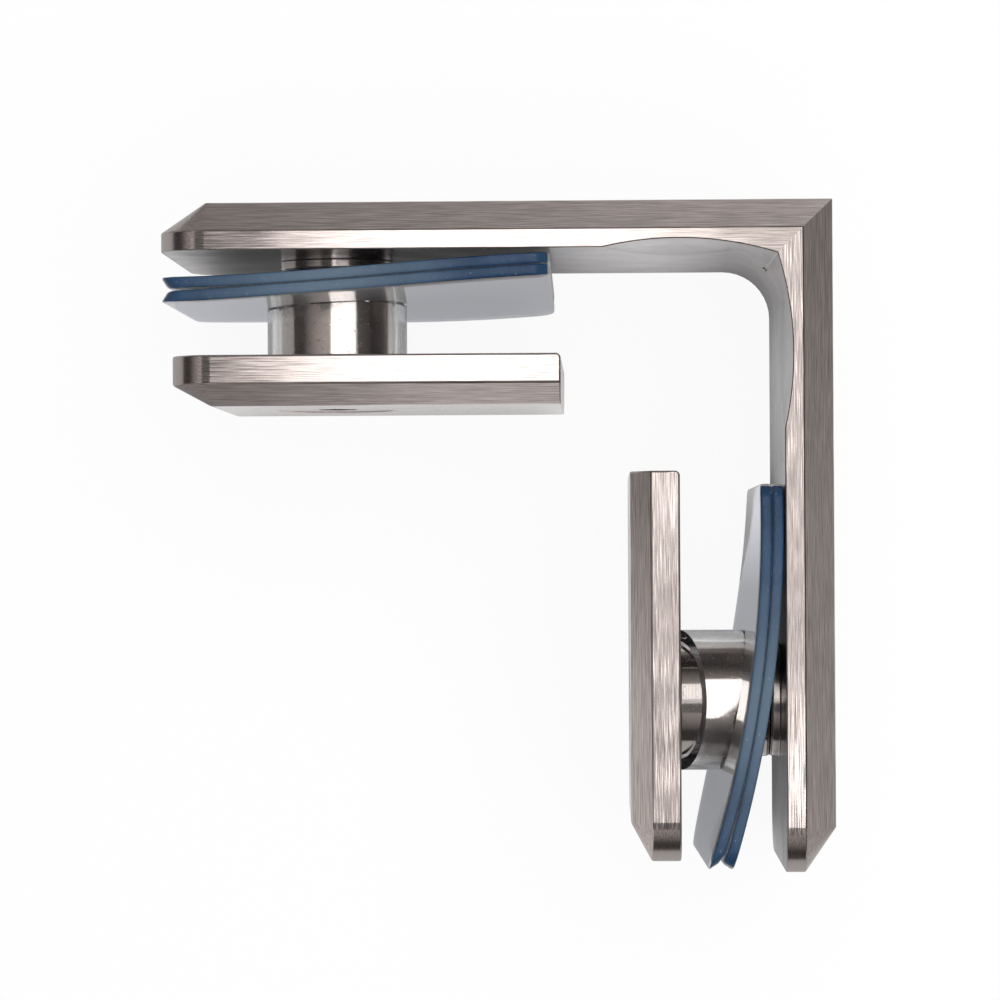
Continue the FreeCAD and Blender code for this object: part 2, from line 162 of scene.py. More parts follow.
class Finish:
    def __init__(self, name, owners=bpy.data.materials):
        self.owner = owners.new(name)
        self.owner.use_nodes = True
        self.tree = self.owner.node_tree
        self.tree.nodes.clear()

    def add(self, kind, settings=None, inputs=None, output=0):
        node = self.tree.nodes.new(kind)
        for setting, value in (settings or {}).items():
            setattr(node, setting, value)
        for key, value in (inputs or {}).items():
            if isinstance(value, Wire):
                self.tree.links.new(value.socket, node.inputs[key])
            else:
                node.inputs[key].default_value = value
        return Wire(self, node.outputs[output]) if node.outputs else node

    def along_axes(self):
        """The three Object coordinates as separate wires."""
        place = self.add("ShaderNodeTexCoord", output="Object")
        return [self.add("ShaderNodeSeparateXYZ", {}, {0: place}, output=axis)
                for axis in ("X", "Y", "Z")]

    def noise(self, x, y, z, detail=2.0, roughness=0.5):
        place = self.add("ShaderNodeCombineXYZ", {}, {0: x, 1: y, 2: z})
        return self.add("ShaderNodeTexNoise", {"noise_dimensions": "3D"},
                        {"Vector": place, "Scale": 1.0, "Detail": detail,
                         "Roughness": roughness}, output="Fac")

    def mix(self, factor, first, second):
        return self.add("ShaderNodeMix", {"data_type": "RGBA"},
                        {0: factor, 6: first, 7: second}, output=2)

    def spread(self, value, low, high, to_low, to_high):
        return self.add("ShaderNodeMapRange", {},
                        {0: value, 1: low, 2: high, 3: to_low, 4: to_high})

    def show(self, shader, output="ShaderNodeOutputMaterial"):
        self.add(output, {}, {"Surface": shader})
        return self.owner


# %% [markdown]
# ## Brushed steel
#
# The faces were ground on a belt that ran along each arm. Thousands of fine scratches lie side by
# side, so light spreads across them far more than along them. An anisotropic shader could do this,
# but the scratches would then have no grain when seen close. Here the normal itself is tilted
# from scratch to scratch, always across the brushing, and the roughness along it stays low.
# On arm A the brushing runs along X and on arm B along Y. The side of the diagonal that a point
# lies on tells which arm, or which arm's plate, it belongs to.

# %% Brushed steel
def brushed_steel(name, colour, tilt=0.22, roughness=0.11):
    steel = Finish(name)
    x, y, z = steel.along_axes()
    on_a = y - x > 0.0

    def scratches(along, across, detail, size=0.5):
        return steel.noise(x * (across + on_a * (along - across)),
                           y * (along + on_a * (across - along)), z * across, detail, size)

    grain = scratches(150.0, 12000.0, 1.0)
    dash = scratches(210.0, 7200.0, 2.0, 0.6)
    cloud = steel.noise(x * 55.0, y * 55.0, z * 55.0, detail=2.0)
    facing = steel.add("ShaderNodeNewGeometry", output="Normal")
    brushing = steel.add("ShaderNodeCombineXYZ", {}, {0: on_a, 1: 1 - on_a, 2: 0.0})
    across = steel.add("ShaderNodeVectorMath", {"operation": "CROSS_PRODUCT"},
                       {0: facing, 1: brushing})
    end_on = steel.add("ShaderNodeVectorMath", {"operation": "DOT_PRODUCT"},
                       {0: facing, 1: brushing}, output="Value")
    side_on = 1 - end_on.math("ABSOLUTE", end_on)
    lean = ((grain - 0.5) * tilt + (dash - 0.5) * 0.03) * side_on
    leaned = steel.add("ShaderNodeVectorMath", {"operation": "SCALE"},
                       {0: across, "Scale": lean})
    tilted = steel.add("ShaderNodeVectorMath", {"operation": "ADD"}, {0: facing, 1: leaned})
    normal = steel.add("ShaderNodeVectorMath", {"operation": "NORMALIZE"}, {0: tilted})
    streak = steel.spread(dash + (cloud - 0.5) * 0.10, 0.30, 0.72, 0.0, 1.0) - 0.5
    shade = 0.5 + streak * (side_on * 0.85 + 0.15)
    dark = [part * 0.62 for part in colour] + [1.0]
    light = [min(part * 1.38, 1.0) for part in colour] + [1.0]
    tone = steel.mix(shade, dark, light)
    rough = roughness + (1 - side_on) * 0.16 + (dash - 0.5) * 0.08 + (cloud - 0.5) * 0.05
    shader = steel.add("ShaderNodeBsdfPrincipled", {},
                       {"Base Color": tone, "Metallic": 1.0, "Roughness": rough,
                        "Normal": normal})
    return steel.show(shader)


STEEL_COLOUR = (0.62, 0.56, 0.535)
arm_steel = brushed_steel("brushed steel", STEEL_COLOUR)

# %% [markdown]
# The inner faces of the casting were never ground. They keep the skin of the casting: a duller,
# greyer grey with soft patches. Painted shade darkens the skin near the inner corner, and arm B's
# inner face is painted much darker than arm A's, for the shade that falls on it.

# %% Inner faces of the casting
def cast_skin_with_painted_shade():
    skin = Finish("cast inner face")
    x, y, z = skin.along_axes()
    off_corner = skin.add("ShaderNodeMath", {"operation": "MAXIMUM"}, {
        0: CORNER * MM - x, 1: CORNER * MM - y})
    patch = skin.noise(x * 130.0, y * 130.0, z * 130.0, detail=4.0, roughness=0.6)
    pore = skin.noise(x * 1700.0, y * 1700.0, z * 1700.0, detail=2.0)
    on_a = y - x > 0.0
    # Painted shade: arm B's inner face gets a far darker tone than arm A's, though both are the
    # same skin.
    arm_tone_with_painted_shade = skin.mix(on_a, (0.13, 0.12, 0.118, 1), (0.50, 0.465, 0.475, 1))
    # Painted shade: the skin turns darker within 10 to 24 mm of the inner corner.
    tone = skin.mix(skin.spread(off_corner, 0.010, 0.024, 0.0, 1.0), (0.25, 0.225, 0.22, 1),
                    arm_tone_with_painted_shade)
    patched = skin.mix(skin.spread(patch, 0.35, 0.65, 0.0, 0.22), tone, (0.20, 0.185, 0.18, 1))
    bump = skin.add("ShaderNodeBump", {}, {"Strength": 0.3, "Distance": 0.00006,
                                           "Height": pore * 0.5 + patch})
    shader = skin.add("ShaderNodeBsdfPrincipled", {},
                      {"Base Color": patched, "Metallic": 1.0,
                       "Roughness": 0.22 + (patch - 0.5) * 0.2, "Normal": bump})
    return skin.show(shader)


inner_steel = cast_skin_with_painted_shade()

# %% [markdown]
# ## Turned steel
#
# The bosses and the screws came off a lathe. Their marks are rings round the axis, much finer than
# the belt's, and the surface between them is nearly polished. Dust and small pits show as specks.

# %% Turned steel
def turned_steel(name, colour, roughness):
    steel = Finish(name)
    x, y, z = steel.along_axes()
    on_a = y - x > 0.0
    depth = y * on_a + x * (1 - on_a)
    rings = steel.noise(depth * 5200.0, 0.5, 0.5, detail=2.0)
    specks = steel.noise(x * 2600.0, y * 2600.0, z * 2600.0, detail=2.0, roughness=0.7)
    cloud = steel.noise(x * 110.0, y * 110.0, z * 110.0, detail=2.0)
    pit = steel.spread(specks, 0.30, 0.36, 0.0, 1.0)
    tone = steel.mix(pit, [part * 0.55 for part in colour] + [1.0], list(colour) + [1.0])
    rough = roughness + (1 - pit) * 0.25 + (cloud - 0.5) * 0.12
    bump = steel.add("ShaderNodeBump", {}, {"Strength": 0.25, "Distance": 0.00002,
                                            "Height": rings * 0.6 + pit * 0.5 + specks * 0.4})
    shader = steel.add("ShaderNodeBsdfPrincipled", {},
                       {"Base Color": tone, "Metallic": 1.0, "Roughness": rough,
                        "Normal": bump})
    return steel.show(shader)


boss_steel = turned_steel("turned boss steel", (0.60, 0.56, 0.54), 0.13)
screw_steel = turned_steel("turned screw steel", (0.57, 0.55, 0.54), 0.16)

# %% [markdown]
# ## Clear soft plastic
#
# The gaskets are clear PVC. Looked at through its broad faces the plastic is almost colourless,
# but its edges gather the light that has run a long way through it, and look deep blue. One
# material with volume absorption could do both, at the price of noise and slow renders. Two
# materials on one mesh are simpler: a clear one on the faces and a blue one on the rims.

# %% Clear plastic faces
def clear_plastic(name, thin, thick, clearness, bending):
    plastic = Finish(name)
    x, y, z = plastic.along_axes()
    haze = plastic.noise(x * 180.0, y * 180.0, z * 180.0, detail=3.0)
    dust = plastic.noise(x * 2400.0, y * 2400.0, z * 2400.0, detail=2.0)
    tone = plastic.mix(plastic.spread(haze, 0.35, 0.7, 0.0, 1.0), thick, thin)
    rough = (0.03 + plastic.spread(haze, 0.4, 0.75, 0.0, 0.06)
             + plastic.spread(dust, 0.68, 0.76, 0.0, 0.25))
    bump = plastic.add("ShaderNodeBump", {}, {"Strength": 0.12, "Distance": 0.0001,
                                              "Height": haze + dust * 0.15})
    shader = plastic.add("ShaderNodeBsdfPrincipled", {},
                         {"Base Color": tone, "Roughness": rough, "IOR": bending,
                          "Transmission Weight": clearness, "Normal": bump})
    return plastic.show(shader)


sheet_plastic = clear_plastic("clear soft sheet", (0.95, 0.955, 0.98, 1), (0.86, 0.88, 0.93, 1),
                              0.62, 1.62)
collar_plastic = clear_plastic("clear collar", (1.0, 0.99, 0.98, 1), (0.95, 0.94, 0.935, 1),
                               0.98, 1.25)

# %% [markdown]
# The rims are darkest at both ends of a gasket and paler beside the boss, where light comes back
# from the steel behind. A small mix by the distance along the arm follows that.

# %% Blue plastic rims
def blue_rim():
    plastic = Finish("blue plastic rim")
    x, y, z = plastic.along_axes()
    on_a = y - x > 0.0
    along = CORNER * MM - (x * on_a + y * (1 - on_a))
    off_boss = plastic.add("ShaderNodeMath", {"operation": "ABSOLUTE"},
                           {0: along - BOSS_ALONG * MM})
    near_boss = plastic.spread(off_boss, 0.002, 0.019, 1.0, 0.0)
    speck = plastic.noise(x * 2100.0, y * 2100.0, z * 2100.0, detail=3.0, roughness=0.7)
    drift = plastic.noise(x * 160.0, y * 160.0, z * 400.0, detail=2.0)
    deep = plastic.mix(plastic.spread(drift, 0.35, 0.65, 0.0, 1.0), (0.013, 0.038, 0.086, 1),
                       (0.030, 0.066, 0.128, 1))
    tone = plastic.mix(near_boss, deep, (0.085, 0.13, 0.185, 1))
    # Painted glints: pale spots mixed into the base colour stand for specular flecks along the
    # rims.
    tone_with_painted_glints = plastic.mix(plastic.spread(speck, 0.66, 0.74, 0.0, 0.6), tone,
                          (0.30, 0.36, 0.44, 1))
    rough = 0.09 + plastic.spread(speck, 0.5, 0.75, 0.0, 0.22)
    bump = plastic.add("ShaderNodeBump", {}, {"Strength": 0.6, "Distance": 0.0001,
                                              "Height": speck + drift * 0.6})
    shader = plastic.add("ShaderNodeBsdfPrincipled", {},
                         {"Base Color": tone_with_painted_glints, "Roughness": rough, "IOR": 1.49,
                          "Specular IOR Level": 0.35, "Normal": bump})
    return plastic.show(shader)


rim_plastic = blue_rim()

# %% [markdown]
# ## From a drawing to a finished piece
#
# A mesh is drawn in a bmesh and closed, and its doubles are merged before the normals are
# recalculated. The edges of ground steel are never perfectly sharp: a Bevel modifier takes a
# fraction of a millimetre off them, and that thin band is what catches the light along a ridge.
# A Weighted Normal modifier then lets the largest face at each corner decide the shading, so a
# polished face mirrors like a flat one right up to its rounded end.

# %% Helpers that finish a piece
def object_from(bm, name):
    """Turns a drawing into an object of the scene."""
    mesh = bpy.data.meshes.new(name)
    bm.to_mesh(mesh)
    bm.free()
    item = bpy.data.objects.new(name, mesh)
    bpy.context.scene.collection.objects.link(item)
    return item


def finish_piece(bm, name, arm, materials, body, stands_for, edge=0.0):
    bmesh.ops.transform(bm, matrix=Matrix.Scale(MM, 4) @ ON_ARM[arm], verts=bm.verts)
    bmesh.ops.remove_doubles(bm, verts=bm.verts, dist=0.002 * MM)
    bmesh.ops.recalc_face_normals(bm, faces=bm.faces)
    piece = object_from(bm, name)
    mesh = piece.data
    for material in materials:
        mesh.materials.append(material)
    mesh.polygons.foreach_set("use_smooth", [True] * len(mesh.polygons))
    mesh.set_sharp_from_angle(angle=math.radians(28))
    if edge:
        bevel = piece.modifiers.new("soft edges", "BEVEL")
        bevel.width = edge * MM
        bevel.segments = 2
        bevel.limit_method = "ANGLE"
        bevel.angle_limit = math.radians(25)
        bevel.use_clamp_overlap = False
        bevel.harden_normals = True
        level = piece.modifiers.new("flat faces stay flat", "WEIGHTED_NORMAL")
        level.keep_sharp = True
    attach(piece, body)
    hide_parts(stands_for)
    print(f"{name}: {len(mesh.polygons)} faces")


# %% [markdown]
# ## Turning and cutting
#
# Round forms are half sections spun once round the boss axis. Holes and hollows are cut with a
# Boolean modifier. It works on objects, so the two drawings become objects for a moment, and the
# result comes back as a drawing.

# %% Helpers that turn and cut
def rounded(bm, edges, radius, segments):
    bmesh.ops.bevel(bm, geom=edges, offset=radius, segments=segments, profile=0.5,
                    affect="EDGES", material=-1)


def turned(profile, steps=96):
    """Spins (radius, inward) points once round the boss axis. Ends on the axis close as poles."""
    bm = bmesh.new()
    verts = [bm.verts.new((BOSS_ALONG + radius, inward, HEIGHT / 2)) for radius, inward in profile]
    pairs = list(zip(verts, verts[1:]))
    if profile[0][0] > 0:
        pairs.append((verts[-1], verts[0]))
    edges = [bm.edges.new(pair) for pair in pairs]
    bmesh.ops.spin(bm, geom=verts + edges, cent=(BOSS_ALONG, 0, HEIGHT / 2), axis=(0, 1, 0),
                   angle=math.tau, steps=steps, use_merge=True)
    bmesh.ops.remove_doubles(bm, verts=bm.verts, dist=0.001)
    bmesh.ops.recalc_face_normals(bm, faces=bm.faces)
    return bm


def combined(first, second, operation):
    """Runs one Boolean on two drawings, and gives a new drawing back."""
    objects = [object_from(first, "operand_0"), object_from(second, "operand_1")]
    modifier = objects[0].modifiers.new("cut", "BOOLEAN")
    modifier.operation = operation
    modifier.solver = "EXACT"
    modifier.object = objects[1]
    graph = bpy.context.evaluated_depsgraph_get()
    result = bmesh.new()
    result.from_mesh(bpy.data.meshes.new_from_object(objects[0].evaluated_get(graph)))
    for item in objects:
        bpy.data.objects.remove(item)
    return result


def sliced(bm, place, normal, **options):
    """Divides every face that the plane crosses."""
    return bmesh.ops.bisect_plane(bm, geom=bm.verts[:] + bm.edges[:] + bm.faces[:],
                                  dist=0.0001, plane_co=place, plane_no=normal, **options)


def sawn(bm, place, normal, capped=True):
    """Cuts the drawing by a plane and drops what lies in front of it."""
    cut = sliced(bm, place, normal, clear_outer=True)
    if capped:
        open_edges = [item for item in cut["geom_cut"] if isinstance(item, bmesh.types.BMEdge)]
        bmesh.ops.holes_fill(bm, edges=open_edges, sides=0)


# %% [markdown]
# ## A slab with a bevelled face
#
# The arms and the cover plates are the same kind of blank: a flat bar with two rounded corners at
# its free end and a wide bevel round its outer face. A cube is scaled to the bar behind the bevel,
# its two end edges are rounded, and one inset with a depth raises the outer face and draws the
# bevel round it. The blank is made too long and sawn off, so the bevel runs out square there.

# %% Helper that makes a bevelled slab
FACE_CORNER = 0.4


def bevelled_slab(start, end, shoulder, back, rise, run, spare=20.0):
    """The bar lies between back and shoulder, and its outer face is raised from the shoulder."""
    bm = bmesh.new()
    bmesh.ops.create_cube(bm, size=1)
    bmesh.ops.scale(bm, vec=(end - start + spare, abs(shoulder - back), HEIGHT), verts=bm.verts)
    bmesh.ops.translate(bm, vec=((start - spare + end) / 2, (shoulder + back) / 2, HEIGHT / 2),
                        verts=bm.verts)
    corners = [edge for edge in bm.edges
               if all(abs(v.co.x - end) < 0.01 for v in edge.verts)
               and abs(edge.verts[0].co.z - edge.verts[1].co.z) < 0.01]
    rounded(bm, corners, run + FACE_CORNER, 12)
    outer = min(bm.faces, key=lambda face: abs(face.calc_center_median().y - shoulder))
    bmesh.ops.inset_region(bm, faces=[outer], thickness=run, depth=rise, use_even_offset=True)
    return bm


# %% [markdown]
# ## The corner casting
#
# Two arms meet in a mitre, so one arm is sawn along the diagonal and its swapped copy is welded to
# it. The inner corner of the real casting has a generous fillet, and a shallow leaning hollow
# relieves it near the top. The bosses are lathed, with a narrow groove at the foot and a bore for
# the screw, and joined to the arms by a Boolean union.

# %% Two mitred arms
ARM_RISE, ARM_RUN, INNER_FILLET = 4.0, 5.7, 6.5
casting = bevelled_slab(0, ARM_LENGTH, ARM_RISE, ARM_THICK, ARM_RISE, ARM_RUN)
sawn(casting, (0, 0, 0), (-1, 1, 0), capped=False)
copied = bmesh.ops.duplicate(casting, geom=casting.verts[:] + casting.edges[:]
                             + casting.faces[:])["geom"]
bmesh.ops.transform(casting, matrix=SWAP_ARMS,
                    verts=[item for item in copied if isinstance(item, bmesh.types.BMVert)])
bmesh.ops.reverse_faces(casting, faces=[item for item in copied
                                        if isinstance(item, bmesh.types.BMFace)])
bmesh.ops.remove_doubles(casting, verts=casting.verts, dist=0.001)
inner_edge = [edge for edge in casting.edges
              if all(abs(v.co.x - ARM_THICK) < 0.01 and abs(v.co.y - ARM_THICK) < 0.01
                     for v in edge.verts)]
rounded(casting, inner_edge, INNER_FILLET, 10)
print("edges rounded in the inner corner:", len(inner_edge))

# %% Hollow in the inner corner
RELIEF_RADIUS, RELIEF_FOOT, RELIEF_LEAN = 43.0, 36.0, math.atan(1 / 14)


def leaning_cylinder():
    bm = bmesh.new()
    bmesh.ops.create_cone(bm, cap_ends=True, segments=256, radius1=RELIEF_RADIUS,
                          radius2=RELIEF_RADIUS, depth=40)
    bmesh.ops.translate(bm, vec=(0, 0, 20), verts=bm.verts)
    bmesh.ops.rotate(bm, cent=(0, 0, 0), matrix=Matrix.Rotation(RELIEF_LEAN, 3, "X"),
                     verts=bm.verts)
    bmesh.ops.translate(bm, vec=(20, ARM_THICK + RELIEF_RADIUS, RELIEF_FOOT), verts=bm.verts)
    return bm


hollow_a, hollow_b = leaning_cylinder(), leaning_cylinder()
bmesh.ops.transform(hollow_b, matrix=SWAP_ARMS, verts=hollow_b.verts)
bmesh.ops.recalc_face_normals(hollow_b, faces=hollow_b.faces)
casting = combined(casting, combined(hollow_a, hollow_b, "INTERSECT"), "DIFFERENCE")

# %% Bosses on the arms
BOSS_SECTION = [
    (0, 5.5), (BOSS_RADIUS, 5.5), (BOSS_RADIUS, 7.55), (7.32, 7.7), (7.32, 8.0),
    (BOSS_RADIUS, 8.15), (BOSS_RADIUS, PLATE_INNER - 0.3), (7.2, PLATE_INNER),
    (4.5, PLATE_INNER), (BORE_RADIUS, PLATE_INNER - 0.45), (BORE_RADIUS, 9.6), (0, 7.65),
]
for arm in ("a", "b"):
    boss = turned(BOSS_SECTION)
    if arm == "b":
        bmesh.ops.transform(boss, matrix=SWAP_ARMS, verts=boss.verts)
        bmesh.ops.recalc_face_normals(boss, faces=boss.faces)
    casting = combined(casting, boss, "UNION")
for face in casting.faces:
    place = face.calc_center_median()
    boss_depth = min(place.x, place.y)
    off_axis = math.hypot(max(place.x, place.y) - BOSS_ALONG, place.z - HEIGHT / 2)
    if boss_depth > ARM_THICK + 0.01 and off_axis < BOSS_RADIUS + 0.05:
        face.material_index = 1
    elif boss_depth > ARM_THICK - 1.6 and abs(face.normal.z) < 0.3 and max(place.x, place.y) < 86:
        face.material_index = 2
finish_piece(casting, "corner_casting", "a", [arm_steel, boss_steel, inner_steel], "corner",
             "corner_body", edge=0.16)

# %% [markdown]
# ## The cover plates
#
# A cover plate is the same bevelled slab, sawn square at the end that points to the corner. Its
# hole is countersunk for the screw. The square end's upright edges are broken by hand-held
# grinding, which the small bevel stands for.

# %% Cover plates
PLATE_RISE, PLATE_RUN, PLATE_BREAK = 2.65, 4.9, 0.5
CLEAR_HOLE, SINK_FOOT, SINK_TOP, SINK_RADIUS = 4.5, 22.19, 25.8, 8.11
HOLE_SECTION = [(0, PLATE_INNER - 1), (CLEAR_HOLE, PLATE_INNER - 1), (CLEAR_HOLE, SINK_FOOT),
                (SINK_RADIUS, SINK_TOP), (SINK_RADIUS, PLATE_OUTER + 1), (0, PLATE_OUTER + 1)]
for arm in ("a", "b"):
    plate = bevelled_slab(PLATE_START, PLATE_END, PLATE_OUTER - PLATE_RISE, PLATE_INNER,
                          PLATE_RISE, PLATE_RUN)
    sawn(plate, (PLATE_START, 0, 0), (-1, 0, 0))
    square_end = [edge for edge in plate.edges
                  if all(abs(v.co.x - PLATE_START) < 0.01 for v in edge.verts)
                  and abs(edge.verts[0].co.z - edge.verts[1].co.z) > 30
                  and abs(edge.verts[0].co.y - PLATE_OUTER) > 0.01]
    rounded(plate, square_end, PLATE_BREAK, 2)
    plate = combined(plate, turned(HOLE_SECTION), "DIFFERENCE")
    finish_piece(plate, f"bevelled_plate_{arm}", arm, [arm_steel], f"plate_{arm}",
                 f"cover_plate_{arm}", edge=0.24)

# %% [markdown]
# ## The countersunk screws
#
# The head is lathed and a hexagon is pressed into it. The thread is a real helix: one pitch of
# its section is spun with a small step inward each time, and the turns meet because the doubles
# are merged. Arm B's drawing is a mirror image, so its thread is wound the other way to end up
# right-handed too.

# %% Screws
HEAD_TOP, PITCH, CORE_RADIUS, THREAD_RADIUS = PLATE_OUTER - 0.15, 1.25, 3.25, 4.0
SCREW_LENGTH, SOCKET_FLATS = 16.0, 5.0
SCREW_END, SCREW_NECK = HEAD_TOP - SCREW_LENGTH, HEAD_TOP - 4.3
SOCKET_RADIUS = SOCKET_FLATS / 2 / math.cos(math.pi / 6)
HEAD_SECTION = [(0, SCREW_NECK - 0.6), (3.9, SCREW_NECK - 0.6), (4.0, HEAD_TOP - 4.4),
                (8.05, HEAD_TOP - 0.35), (8.05, HEAD_TOP - 0.12), (7.93, HEAD_TOP),
                (0, HEAD_TOP)]


def threaded_shank(direction):
    turns, steps = math.ceil((SCREW_NECK - SCREW_END) / PITCH) + 2, 32
    bm = bmesh.new()
    start = SCREW_END - PITCH
    section = [(CORE_RADIUS, 0.0), (CORE_RADIUS, 0.1), (THREAD_RADIUS, 0.55),
               (THREAD_RADIUS, 0.7), (CORE_RADIUS, 1.15), (CORE_RADIUS, PITCH)]
    verts = [bm.verts.new((BOSS_ALONG + radius, start + step, HEIGHT / 2))
             for radius, step in section]
    edges = [bm.edges.new(pair) for pair in zip(verts, verts[1:])]
    bmesh.ops.spin(bm, geom=verts + edges, cent=(BOSS_ALONG, 0, HEIGHT / 2),
                   axis=(0, direction, 0), dvec=(0, PITCH / steps, 0),
                   angle=math.tau * turns, steps=steps * turns)
    bmesh.ops.remove_doubles(bm, verts=bm.verts, dist=0.004)
    sawn(bm, (0, SCREW_NECK, 0), (0, 1, 0))
    sawn(bm, (0, SCREW_END, 0), (0, -1, 0))
    return bm


for arm, direction in (("a", 1), ("b", -1)):
    socket = bmesh.new()
    bmesh.ops.create_cone(socket, cap_ends=True, segments=6, radius1=SOCKET_RADIUS,
                          radius2=SOCKET_RADIUS, depth=6)
    bmesh.ops.rotate(socket, cent=(0, 0, 0), matrix=Matrix.Rotation(math.pi / 2, 3, "X"),
                     verts=socket.verts)
    bmesh.ops.translate(socket, vec=(BOSS_ALONG, HEAD_TOP, HEIGHT / 2), verts=socket.verts)
    screw = combined(turned(HEAD_SECTION), socket, "DIFFERENCE")
    shank_mesh = bpy.data.meshes.new("shank")
    shank = threaded_shank(direction)
    shank.to_mesh(shank_mesh)
    shank.free()
    screw.from_mesh(shank_mesh)
    finish_piece(screw, f"countersunk_screw_{arm}", arm, [screw_steel], f"screw_{arm}",
                 f"clamp_screw_{arm}", edge=0.06)

# %% [markdown]
# ## The gaskets
#
# Each gasket is a soft sheet that has taken a bend of its own, and no two hang alike. A flat blank
# is drawn first: a bar with rounded corners, sliced so that it can bend, and bored for the boss.
# The upper one of each pair has a moulded collar. Then every point is carried to the bent surface.
# Its height there comes from a smooth curve through a few measures near the top edge and a few
# near the bottom edge, and it blends from one to the other.

# %% Bends of the gaskets
GASKET_THICK = 1.42
BENDS = {
    "a": {
        "top": ((36.3, 6.91), (43.8, 7.23), (54.3, 8.12), (62.7, 8.7), (71.7, 9.3), (84.0, 9.86)),
        "bottom": ((35.4, 9.3), (46.0, 10.0), (55.9, 10.34), (70.0, 10.2), (85.6, 9.82)),
        "ends": (36.3, 86.2), "rim": lambda z: 19.2 - 0.012 * (z - 25),
    },
    "b": {
        "top": ((36.7, 6.76), (49.6, 6.97), (59.2, 7.6), (66.5, 8.75), (71.6, 9.6),
                (80.3, 11.8), (84.8, 12.9)),
        "bottom": ((36.4, 6.75), (45.1, 7.5), (55.5, 8.76), (64.0, 10.3), (75.7, 12.66),
                   (85.7, 14.36)),
        "ends": (36.7, 86.0), "rim": lambda z: min(19.5, 19.7 - 0.37 * (z - 25)),
    },
}


def smooth_step(value):
    value = min(max(value, 0.0), 1.0)
    return value * value * (3 - 2 * value)


def bent_surface(arm):
    """Gives a function from (along, up) to the inward place of the lower gasket's outer face."""
    curves = [np.polyfit(*zip(*BENDS[arm][edge]), 3) for edge in ("top", "bottom")]

    def surface(along, up):
        top, bottom = (float(np.polyval(curve, along)) for curve in curves)
        return max(bottom + (top - bottom) * up / HEIGHT, ARM_THICK + 0.12)

    return surface


# %% Gaskets
COLLAR_BORE, COLLAR_WALL, PLAIN_BORE = 7.8, 1.5, 8.0
COLLAR_TOP = 8.0
GASKET_INSET, GASKET_CORNER, RIM_ROUND = 0.4, 2.2, 0.32
LAYER_AIR, LAYER_FAN, TIP_LEAN = 0.08, 0.25, 0.9
SLICES_ALONG, SLICES_UP = 34, 12
COLLAR_SECTION = [(COLLAR_BORE, 0.3), (COLLAR_BORE + COLLAR_WALL, 0.3),
                  (COLLAR_BORE + COLLAR_WALL, COLLAR_TOP), (COLLAR_BORE, COLLAR_TOP)]


def off_boss(place):
    """Distance from the boss axis."""
    return math.hypot(place.x - BOSS_ALONG, place.z - HEIGHT / 2)


def gasket_blank(ends, bore, has_collar):
    start, end = ends
    bm = bmesh.new()
    bmesh.ops.create_cube(bm, size=1)
    bmesh.ops.scale(bm, vec=(end - start, GASKET_THICK, HEIGHT - 2 * GASKET_INSET),
                    verts=bm.verts)
    bmesh.ops.translate(bm, vec=((start + end) / 2, GASKET_THICK / 2, HEIGHT / 2),
                        verts=bm.verts)
    corners = [edge for edge in bm.edges if abs(edge.verts[0].co.y - edge.verts[1].co.y) > 1]
    rounded(bm, corners, GASKET_CORNER, 6)
    for number in range(1, SLICES_ALONG):
        sliced(bm, (start + (end - start) * number / SLICES_ALONG, 0, 0), (1, 0, 0))
    for number in range(1, SLICES_UP):
        up = GASKET_INSET + (HEIGHT - 2 * GASKET_INSET) * number / SLICES_UP
        sliced(bm, (0, 0, up), (0, 0, 1))
    hole = turned([(0, -1), (bore, -1), (bore, 3), (0, 3)])
    bm = combined(bm, hole, "DIFFERENCE")
    if has_collar:
        bm = combined(bm, turned(COLLAR_SECTION), "UNION")
    rim = [edge for edge in bm.edges
           if len(edge.link_faces) == 2
           and sorted(round(abs(face.normal.y)) for face in edge.link_faces) == [0, 1]
           and off_boss(edge.verts[0].co) > 12]
    rounded(bm, rim, RIM_ROUND, 3)
    bm.normal_update()
    return bm


for arm in ("a", "b"):
    surface = bent_surface(arm)
    for layer, (kind, bore) in enumerate((("plain", PLAIN_BORE), ("collar", COLLAR_BORE))):
        gasket = gasket_blank(BENDS[arm]["ends"], bore, kind == "collar")
        for face in gasket.faces:
            place = face.calc_center_median()
            if place.y > GASKET_THICK + 0.2 or off_boss(place) < bore + 0.1:
                face.material_index = 2
            elif abs(place.z - HEIGHT / 2) > HEIGHT / 2 - 1.6 and (
                    abs(face.normal.z) > 0.3 or abs(place.z - HEIGHT / 2) > HEIGHT / 2 - 0.9):
                face.material_index = 1
        for vert in gasket.verts:
            along, height, up = vert.co
            fan = layer * (GASKET_THICK + LAYER_AIR + LAYER_FAN * smooth_step((along - 70) / 16))
            foot = surface(along, up) + fan
            inner_side = abs(1 - layer - height / GASKET_THICK)
            vert.co.x -= TIP_LEAN * smooth_step((along - 83) / 3) * (1 - min(inner_side, 1.0))
            if height <= GASKET_THICK:
                vert.co.y = foot + height
            else:
                rise = (height - GASKET_THICK) / (COLLAR_TOP - GASKET_THICK)
                vert.co.y = (1 - rise) * (foot + GASKET_THICK) + rise * BENDS[arm]["rim"](up)
        finish_piece(gasket, f"soft_{kind}_gasket_{arm}", arm,
                     [sheet_plastic, rim_plastic, collar_plastic], "corner",
                     f"{kind}_gasket_{arm}")

# %% [markdown]
# ## Floor and light
#
# The clamp stands on a plain white table under one large soft lamp, as in a product photograph.
# A Light Path node tells who is looking. The camera sees an even white, so the picture's ground
# is white while the lamp stays at a plain level. Reflections and clear plastic see a floor that
# darkens in the nooks under the clamp and towards its far sides, and the matt part that polished
# steel mirrors is darker still, because the inner faces are dark in the photograph.

# %% Floor
floor_bm = bmesh.new()
bmesh.ops.create_grid(floor_bm, x_segments=1, y_segments=1, size=3.0)
bmesh.ops.translate(floor_bm, vec=(0, 0, -0.0003), verts=floor_bm.verts)
floor = object_from(floor_bm, "table")


